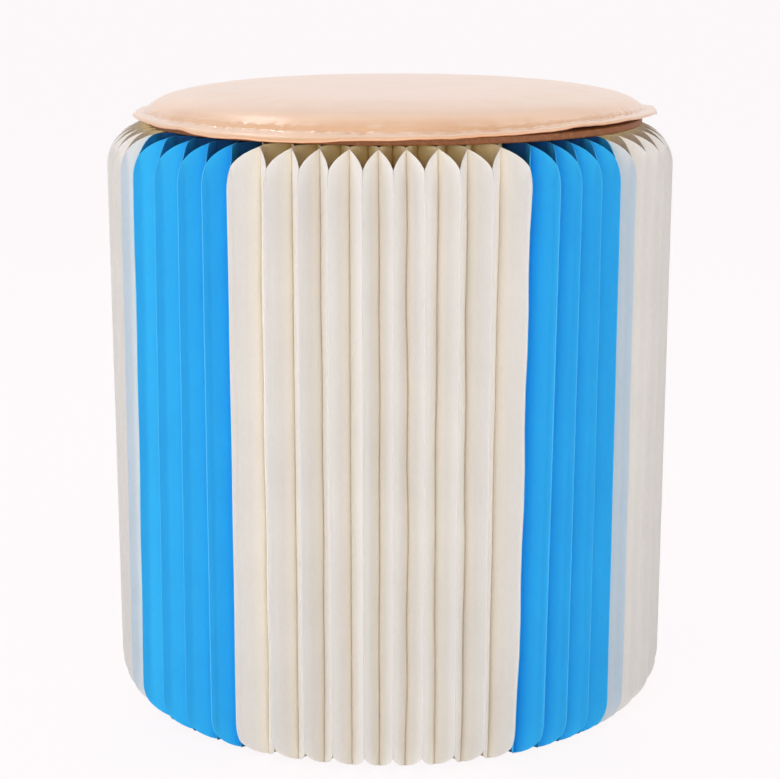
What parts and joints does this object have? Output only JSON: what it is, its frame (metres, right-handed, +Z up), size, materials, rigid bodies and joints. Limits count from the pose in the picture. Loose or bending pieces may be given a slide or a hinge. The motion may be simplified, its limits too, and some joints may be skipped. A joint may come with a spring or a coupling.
{
  "type": "paper stool",
  "caption": "Round folding stool of upright paper leaves glued like a honeycomb between magnetic end boards, with a loose round seat board and a crowned leather pad.",
  "frame": {"origin": "on the floor, on the middle axis of the stool", "axes": "+Z up; the end boards meet at +Y; -Y faces the viewer and +X is to the viewer's right"},
  "size_m": [0.3598, 0.3587, 0.3988],
  "materials": {
    "white_paper": "matt, warm white",
    "blue_paper": "matt, sky blue",
    "greyboard": "covered greyboard",
    "magnet": "nickel plated",
    "fibreboard": "brown fibreboard",
    "foam": "open-cell foam",
    "leather": "glossy tan leather"
  },
  "bodies": {
    "fixed_end_board": {"fixed_end_board": "greyboard", "fixed_board_magnets": "magnet"},
    "leaf_group_01": {"leaves_01_white": "white_paper"},
    "leaf_group_02": {"leaves_02_white": "white_paper"},
    "leaf_group_03": {"leaves_03_white": "white_paper"},
    "leaf_group_04": {"leaves_04_white": "white_paper"},
    "leaf_group_05": {"leaves_05_blue": "blue_paper"},
    "leaf_group_06": {"leaves_06_blue": "blue_paper"},
    "leaf_group_07": {"leaves_07_blue": "blue_paper"},
    "leaf_group_08": {"leaves_08_white": "white_paper"},
    "leaf_group_09": {"leaves_09_white": "white_paper"},
    "leaf_group_10": {"leaves_10_white": "white_paper"},
    "leaf_group_11": {"leaves_11_white": "white_paper"},
    "leaf_group_12": {"leaves_12_white": "white_paper"},
    "leaf_group_13": {"leaves_13_white": "white_paper"},
    "leaf_group_14": {"leaves_14_blue": "blue_paper"},
    "leaf_group_15": {"leaves_15_blue": "blue_paper"},
    "leaf_group_16": {"leaves_16_blue": "blue_paper"},
    "leaf_group_17": {"leaves_17_white": "white_paper"},
    "leaf_group_18": {"leaves_18_white": "white_paper"},
    "leaf_group_19": {"leaves_19_white": "white_paper"},
    "leaf_group_20": {"leaves_20_white": "white_paper"},
    "leaf_group_21": {"leaves_21_white": "white_paper"},
    "leaf_group_22": {"leaves_22_white": "white_paper"},
    "leaf_group_23": {"leaves_23_blue": "blue_paper"},
    "leaf_group_24": {"leaves_24_blue": "blue_paper"},
    "leaf_group_25": {"leaves_25_blue": "blue_paper"},
    "leaf_group_26": {"leaves_26_white": "white_paper"},
    "leaf_group_27": {"leaves_27_white": "white_paper"},
    "leaf_group_28": {"leaves_28_white": "white_paper"},
    "leaf_group_29": {"leaves_29_white": "white_paper"},
    "leaf_group_30": {"leaves_30_white": "white_paper"},
    "leaf_group_31": {"leaves_31_white": "white_paper"},
    "leaf_group_32": {"leaves_32_blue": "blue_paper"},
    "leaf_group_33": {"leaves_33_blue": "blue_paper"},
    "leaf_group_34": {"leaves_34_blue": "blue_paper"},
    "leaf_group_35": {"leaves_35_white": "white_paper"},
    "leaf_group_36": {"leaves_36_white": "white_paper"},
    "leaf_group_37": {"leaves_37_white": "white_paper"},
    "leaf_group_38": {"leaves_38_white": "white_paper"},
    "swing_end_board": {"swing_end_board": "greyboard", "swing_board_magnets": "magnet"},
    "seat_board": {"seat_board": "fibreboard"},
    "seat_pad": {"pad_bottom_cover": "leather", "pad_foam": "foam", "pad_top_cover": "leather"}
  },
  "joints": [
    {"name": "fan_fold", "type": "hinge", "parent": "fixed_end_board", "child": "leaf_group_01", "pos_m": [0.003, 0.0075, 0], "axis": [0, 0, 1], "range_deg": [0, 4.74], "deforming": ["leaves_01_white"]},
    {"name": "leaf_fold_02", "type": "hinge", "parent": "leaf_group_01", "child": "leaf_group_02", "pos_m": [0.00392, 0.00742, 0], "axis": [0, 0, 1], "range_deg": [0, 9.47], "deforming": ["leaves_02_white"]},
    {"name": "leaf_fold_03", "type": "hinge", "parent": "leaf_group_02", "child": "leaf_group_03", "pos_m": [0.00482, 0.00719, 0], "axis": [0, 0, 1], "range_deg": [0, 9.47], "deforming": ["leaves_03_white"]},
    {"name": "leaf_fold_04", "type": "hinge", "parent": "leaf_group_03", "child": "leaf_group_04", "pos_m": [0.00569, 0.00681, 0], "axis": [0, 0, 1], "range_deg": [0, 9.47], "deforming": ["leaves_04_white"]},
    {"name": "leaf_fold_05", "type": "hinge", "parent": "leaf_group_04", "child": "leaf_group_05", "pos_m": [0.00651, 0.00628, 0], "axis": [0, 0, 1], "range_deg": [0, 9.47], "deforming": ["leaves_05_blue"]},
    {"name": "leaf_fold_06", "type": "hinge", "parent": "leaf_group_05", "child": "leaf_group_06", "pos_m": [0.00725, 0.0056, 0], "axis": [0, 0, 1], "range_deg": [0, 9.47], "deforming": ["leaves_06_blue"]},
    {"name": "leaf_fold_07", "type": "hinge", "parent": "leaf_group_06", "child": "leaf_group_07", "pos_m": [0.00789, 0.00477, 0], "axis": [0, 0, 1], "range_deg": [0, 9.47], "deforming": ["leaves_07_blue"]},
    {"name": "leaf_fold_08", "type": "hinge", "parent": "leaf_group_07", "child": "leaf_group_08", "pos_m": [0.00841, 0.00382, 0], "axis": [0, 0, 1], "range_deg": [0, 9.47], "deforming": ["leaves_08_white"]},
    {"name": "leaf_fold_09", "type": "hinge", "parent": "leaf_group_08", "child": "leaf_group_09", "pos_m": [0.00878, 0.00274, 0], "axis": [0, 0, 1], "range_deg": [0, 9.47], "deforming": ["leaves_09_white"]},
    {"name": "leaf_fold_10", "type": "hinge", "parent": "leaf_group_09", "child": "leaf_group_10", "pos_m": [0.00897, 0.00157, 0], "axis": [0, 0, 1], "range_deg": [0, 9.47], "deforming": ["leaves_10_white"]},
    {"name": "leaf_fold_11", "type": "hinge", "parent": "leaf_group_10", "child": "leaf_group_11", "pos_m": [0.00897, 0.00033, 0], "axis": [0, 0, 1], "range_deg": [0, 9.47], "deforming": ["leaves_11_white"]},
    {"name": "leaf_fold_12", "type": "hinge", "parent": "leaf_group_11", "child": "leaf_group_12", "pos_m": [0.00876, -0.00094, 0], "axis": [0, 0, 1], "range_deg": [0, 9.47], "deforming": ["leaves_12_white"]},
    {"name": "leaf_fold_13", "type": "hinge", "parent": "leaf_group_12", "child": "leaf_group_13", "pos_m": [0.00833, -0.00221, 0], "axis": [0, 0, 1], "range_deg": [0, 9.47], "deforming": ["leaves_13_white"]},
    {"name": "leaf_fold_14", "type": "hinge", "parent": "leaf_group_13", "child": "leaf_group_14", "pos_m": [0.00767, -0.00343, 0], "axis": [0, 0, 1], "range_deg": [0, 9.47], "deforming": ["leaves_14_blue"]},
    {"name": "leaf_fold_15", "type": "hinge", "parent": "leaf_group_14", "child": "leaf_group_15", "pos_m": [0.00679, -0.00456, 0], "axis": [0, 0, 1], "range_deg": [0, 9.47], "deforming": ["leaves_15_blue"]},
    {"name": "leaf_fold_16", "type": "hinge", "parent": "leaf_group_15", "child": "leaf_group_16", "pos_m": [0.0057, -0.00556, 0], "axis": [0, 0, 1], "range_deg": [0, 9.47], "deforming": ["leaves_16_blue"]},
    {"name": "leaf_fold_17", "type": "hinge", "parent": "leaf_group_16", "child": "leaf_group_17", "pos_m": [0.00444, -0.00638, 0], "axis": [0, 0, 1], "range_deg": [0, 9.47], "deforming": ["leaves_17_white"]},
    {"name": "leaf_fold_18", "type": "hinge", "parent": "leaf_group_17", "child": "leaf_group_18", "pos_m": [0.00305, -0.00699, 0], "axis": [0, 0, 1], "range_deg": [0, 9.47], "deforming": ["leaves_18_white"]},
    {"name": "leaf_fold_19", "type": "hinge", "parent": "leaf_group_18", "child": "leaf_group_19", "pos_m": [0.00155, -0.00737, 0], "axis": [0, 0, 1], "range_deg": [0, 9.47], "deforming": ["leaves_19_white"]},
    {"name": "leaf_fold_20", "type": "hinge", "parent": "leaf_group_19", "child": "leaf_group_20", "pos_m": [0, -0.0075, 0], "axis": [0, 0, 1], "range_deg": [0, 9.47], "deforming": ["leaves_20_white"]},
    {"name": "leaf_fold_21", "type": "hinge", "parent": "leaf_group_20", "child": "leaf_group_21", "pos_m": [-0.00155, -0.00737, 0], "axis": [0, 0, 1], "range_deg": [0, 9.47], "deforming": ["leaves_21_white"]},
    {"name": "leaf_fold_22", "type": "hinge", "parent": "leaf_group_21", "child": "leaf_group_22", "pos_m": [-0.00305, -0.00699, 0], "axis": [0, 0, 1], "range_deg": [0, 9.47], "deforming": ["leaves_22_white"]},
    {"name": "leaf_fold_23", "type": "hinge", "parent": "leaf_group_22", "child": "leaf_group_23", "pos_m": [-0.00444, -0.00638, 0], "axis": [0, 0, 1], "range_deg": [0, 9.47], "deforming": ["leaves_23_blue"]},
    {"name": "leaf_fold_24", "type": "hinge", "parent": "leaf_group_23", "child": "leaf_group_24", "pos_m": [-0.0057, -0.00556, 0], "axis": [0, 0, 1], "range_deg": [0, 9.47], "deforming": ["leaves_24_blue"]},
    {"name": "leaf_fold_25", "type": "hinge", "parent": "leaf_group_24", "child": "leaf_group_25", "pos_m": [-0.00679, -0.00456, 0], "axis": [0, 0, 1], "range_deg": [0, 9.47], "deforming": ["leaves_25_blue"]},
    {"name": "leaf_fold_26", "type": "hinge", "parent": "leaf_group_25", "child": "leaf_group_26", "pos_m": [-0.00767, -0.00343, 0], "axis": [0, 0, 1], "range_deg": [0, 9.47], "deforming": ["leaves_26_white"]},
    {"name": "leaf_fold_27", "type": "hinge", "parent": "leaf_group_26", "child": "leaf_group_27", "pos_m": [-0.00833, -0.00221, 0], "axis": [0, 0, 1], "range_deg": [0, 9.47], "deforming": ["leaves_27_white"]},
    {"name": "leaf_fold_28", "type": "hinge", "parent": "leaf_group_27", "child": "leaf_group_28", "pos_m": [-0.00876, -0.00094, 0], "axis": [0, 0, 1], "range_deg": [0, 9.47], "deforming": ["leaves_28_white"]},
    {"name": "leaf_fold_29", "type": "hinge", "parent": "leaf_group_28", "child": "leaf_group_29", "pos_m": [-0.00897, 0.00033, 0], "axis": [0, 0, 1], "range_deg": [0, 9.47], "deforming": ["leaves_29_white"]},
    {"name": "leaf_fold_30", "type": "hinge", "parent": "leaf_group_29", "child": "leaf_group_30", "pos_m": [-0.00897, 0.00157, 0], "axis": [0, 0, 1], "range_deg": [0, 9.47], "deforming": ["leaves_30_white"]},
    {"name": "leaf_fold_31", "type": "hinge", "parent": "leaf_group_30", "child": "leaf_group_31", "pos_m": [-0.00878, 0.00274, 0], "axis": [0, 0, 1], "range_deg": [0, 9.47], "deforming": ["leaves_31_white"]},
    {"name": "leaf_fold_32", "type": "hinge", "parent": "leaf_group_31", "child": "leaf_group_32", "pos_m": [-0.00841, 0.00382, 0], "axis": [0, 0, 1], "range_deg": [0, 9.47], "deforming": ["leaves_32_blue"]},
    {"name": "leaf_fold_33", "type": "hinge", "parent": "leaf_group_32", "child": "leaf_group_33", "pos_m": [-0.00789, 0.00477, 0], "axis": [0, 0, 1], "range_deg": [0, 9.47], "deforming": ["leaves_33_blue"]},
    {"name": "leaf_fold_34", "type": "hinge", "parent": "leaf_group_33", "child": "leaf_group_34", "pos_m": [-0.00725, 0.0056, 0], "axis": [0, 0, 1], "range_deg": [0, 9.47], "deforming": ["leaves_34_blue"]},
    {"name": "leaf_fold_35", "type": "hinge", "parent": "leaf_group_34", "child": "leaf_group_35", "pos_m": [-0.00651, 0.00628, 0], "axis": [0, 0, 1], "range_deg": [0, 9.47], "deforming": ["leaves_35_white"]},
    {"name": "leaf_fold_36", "type": "hinge", "parent": "leaf_group_35", "child": "leaf_group_36", "pos_m": [-0.00569, 0.00681, 0], "axis": [0, 0, 1], "range_deg": [0, 9.47], "deforming": ["leaves_36_white"]},
    {"name": "leaf_fold_37", "type": "hinge", "parent": "leaf_group_36", "child": "leaf_group_37", "pos_m": [-0.00482, 0.00719, 0], "axis": [0, 0, 1], "range_deg": [0, 9.47], "deforming": ["leaves_37_white"]},
    {"name": "leaf_fold_38", "type": "hinge", "parent": "leaf_group_37", "child": "leaf_group_38", "pos_m": [-0.00392, 0.00742, 0], "axis": [0, 0, 1], "range_deg": [0, 9.47], "deforming": ["leaves_38_white"]},
    {"name": "end_board_fold", "type": "hinge", "parent": "leaf_group_38", "child": "swing_end_board", "pos_m": [-0.003, 0.0075, 0], "axis": [0, 0, 1], "range_deg": [0, 4.74]},
    {"name": "seat_board_lift", "type": "slide", "parent": "fixed_end_board", "child": "seat_board", "axis": [0, 0, 1], "range_m": [0, 0.15]},
    {"name": "seat_pad_lift", "type": "slide", "parent": "seat_board", "child": "seat_pad", "axis": [0, 0, 1], "range_m": [0, 0.15]}
  ],
  "couplings": [
    {"joint": "leaf_fold_02", "follows": "fan_fold", "ratio": 2},
    {"joint": "leaf_fold_03", "follows": "fan_fold", "ratio": 2},
    {"joint": "leaf_fold_04", "follows": "fan_fold", "ratio": 2},
    {"joint": "leaf_fold_05", "follows": "fan_fold", "ratio": 2},
    {"joint": "leaf_fold_06", "follows": "fan_fold", "ratio": 2},
    {"joint": "leaf_fold_07", "follows": "fan_fold", "ratio": 2},
    {"joint": "leaf_fold_08", "follows": "fan_fold", "ratio": 2},
    {"joint": "leaf_fold_09", "follows": "fan_fold", "ratio": 2},
    {"joint": "leaf_fold_10", "follows": "fan_fold", "ratio": 2},
    {"joint": "leaf_fold_11", "follows": "fan_fold", "ratio": 2},
    {"joint": "leaf_fold_12", "follows": "fan_fold", "ratio": 2},
    {"joint": "leaf_fold_13", "follows": "fan_fold", "ratio": 2},
    {"joint": "leaf_fold_14", "follows": "fan_fold", "ratio": 2},
    {"joint": "leaf_fold_15", "follows": "fan_fold", "ratio": 2},
    {"joint": "leaf_fold_16", "follows": "fan_fold", "ratio": 2},
    {"joint": "leaf_fold_17", "follows": "fan_fold", "ratio": 2},
    {"joint": "leaf_fold_18", "follows": "fan_fold", "ratio": 2},
    {"joint": "leaf_fold_19", "follows": "fan_fold", "ratio": 2},
    {"joint": "leaf_fold_20", "follows": "fan_fold", "ratio": 2},
    {"joint": "leaf_fold_21", "follows": "fan_fold", "ratio": 2},
    {"joint": "leaf_fold_22", "follows": "fan_fold", "ratio": 2},
    {"joint": "leaf_fold_23", "follows": "fan_fold", "ratio": 2},
    {"joint": "leaf_fold_24", "follows": "fan_fold", "ratio": 2},
    {"joint": "leaf_fold_25", "follows": "fan_fold", "ratio": 2},
    {"joint": "leaf_fold_26", "follows": "fan_fold", "ratio": 2},
    {"joint": "leaf_fold_27", "follows": "fan_fold", "ratio": 2},
    {"joint": "leaf_fold_28", "follows": "fan_fold", "ratio": 2},
    {"joint": "leaf_fold_29", "follows": "fan_fold", "ratio": 2},
    {"joint": "leaf_fold_30", "follows": "fan_fold", "ratio": 2},
    {"joint": "leaf_fold_31", "follows": "fan_fold", "ratio": 2},
    {"joint": "leaf_fold_32", "follows": "fan_fold", "ratio": 2},
    {"joint": "leaf_fold_33", "follows": "fan_fold", "ratio": 2},
    {"joint": "leaf_fold_34", "follows": "fan_fold", "ratio": 2},
    {"joint": "leaf_fold_35", "follows": "fan_fold", "ratio": 2},
    {"joint": "leaf_fold_36", "follows": "fan_fold", "ratio": 2},
    {"joint": "leaf_fold_37", "follows": "fan_fold", "ratio": 2},
    {"joint": "leaf_fold_38", "follows": "fan_fold", "ratio": 2},
    {"joint": "end_board_fold", "follows": "fan_fold", "ratio": 1}
  ]
}
